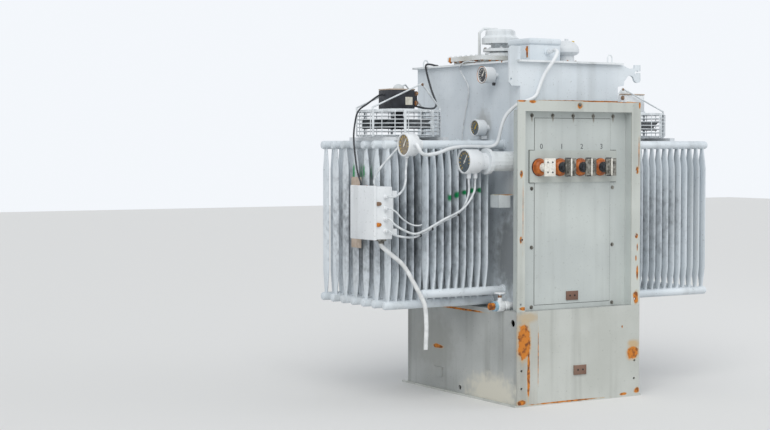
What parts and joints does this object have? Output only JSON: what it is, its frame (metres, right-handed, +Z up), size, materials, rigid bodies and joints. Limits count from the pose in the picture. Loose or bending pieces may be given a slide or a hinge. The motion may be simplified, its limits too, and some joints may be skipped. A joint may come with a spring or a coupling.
{
  "type": "power transformer",
  "caption": "Liquid-filled power transformer with radiators on both sides, a recessed low-voltage front with moulded bushings, gauges, fans and a bolted cover.",
  "frame": {"origin": "on the underside of the bottom plate, in the middle of the base", "axes": "+Z up, the low-voltage front faces -Y, +X to the right of someone who faces that front"},
  "size_m": [2.5168, 1.3066, 2.3233],
  "materials": {
    "tank_paint": "weathered light blue-grey enamel",
    "frame_paint": "weathered warm grey enamel with rust at the edges",
    "recess_paint": "satin greenish grey enamel",
    "radiator_paint": "satin light blue-grey enamel",
    "epoxy": "moulded epoxy, orange-brown",
    "gauge_case": "satin painted case with a dial",
    "motor_paint": "black enamel",
    "cage_wire": "galvanised and painted wire",
    "valve_metal": "weathered cast brass",
    "lead_jacket": "grey cable jacket",
    "hose": "white flexible hose"
  },
  "bodies": {
    "root": {"base_bottom_plate": "frame_paint", "base_front_corner": "frame_paint", "base_front_plate": "frame_paint", "base_walls": "frame_paint", "bushing_1": "epoxy", "bushing_2": "epoxy", "bushing_3": "epoxy", "bushing_4": "epoxy", "bushing_plate": "recess_paint", "cover_box": "tank_paint", "cover_box_lid": "tank_paint", "drain_valve": "valve_metal", "fan_left_cage": "cage_wire", "fan_left_hanger": "tank_paint", "fan_left_motor": "motor_paint", "fan_left_rails": "tank_paint", "fan_right_cage": "cage_wire", "fan_right_hanger": "tank_paint", "fan_right_motor": "motor_paint", "fan_right_rails": "tank_paint", "hand_hole_cap": "tank_paint", "hand_hole_plate": "tank_paint", "header_gauge": "gauge_case", "hose": "hose", "junction_box": "tank_paint", "junction_bracket": "tank_paint", "lead_box_top": "lead_jacket", "lead_header_gauge": "lead_jacket", "lead_level_gauge": "lead_jacket", "lead_level_gauge_second": "lead_jacket", "level_gauge": "gauge_case", "level_gauge_pipe": "tank_paint", "lifting_plate_left": "tank_paint", "lifting_plate_right": "tank_paint", "lv_flange_frame": "frame_paint", "lv_recess_back": "recess_paint", "lv_recess_frame": "recess_paint", "radiator_left_1": "radiator_paint", "radiator_left_2": "radiator_paint", "radiator_left_3": "radiator_paint", "radiator_left_4": "radiator_paint", "radiator_left_5": "radiator_paint", "radiator_left_6": "radiator_paint", "radiator_left_7": "radiator_paint", "radiator_left_8": "radiator_paint", "radiator_right_1": "radiator_paint", "radiator_right_2": "radiator_paint", "radiator_right_3": "radiator_paint", "radiator_right_4": "radiator_paint", "radiator_right_5": "radiator_paint", "radiator_right_6": "radiator_paint", "radiator_right_7": "radiator_paint", "radiator_right_8": "radiator_paint", "relief_device": "tank_paint", "sensor_conduit": "cage_wire", "side_bracket": "tank_paint", "tank_cover": "tank_paint", "tank_shell": "tank_paint", "wall_gauge_high": "gauge_case", "wall_gauge_low": "gauge_case"}
  },
  "joints": []
}
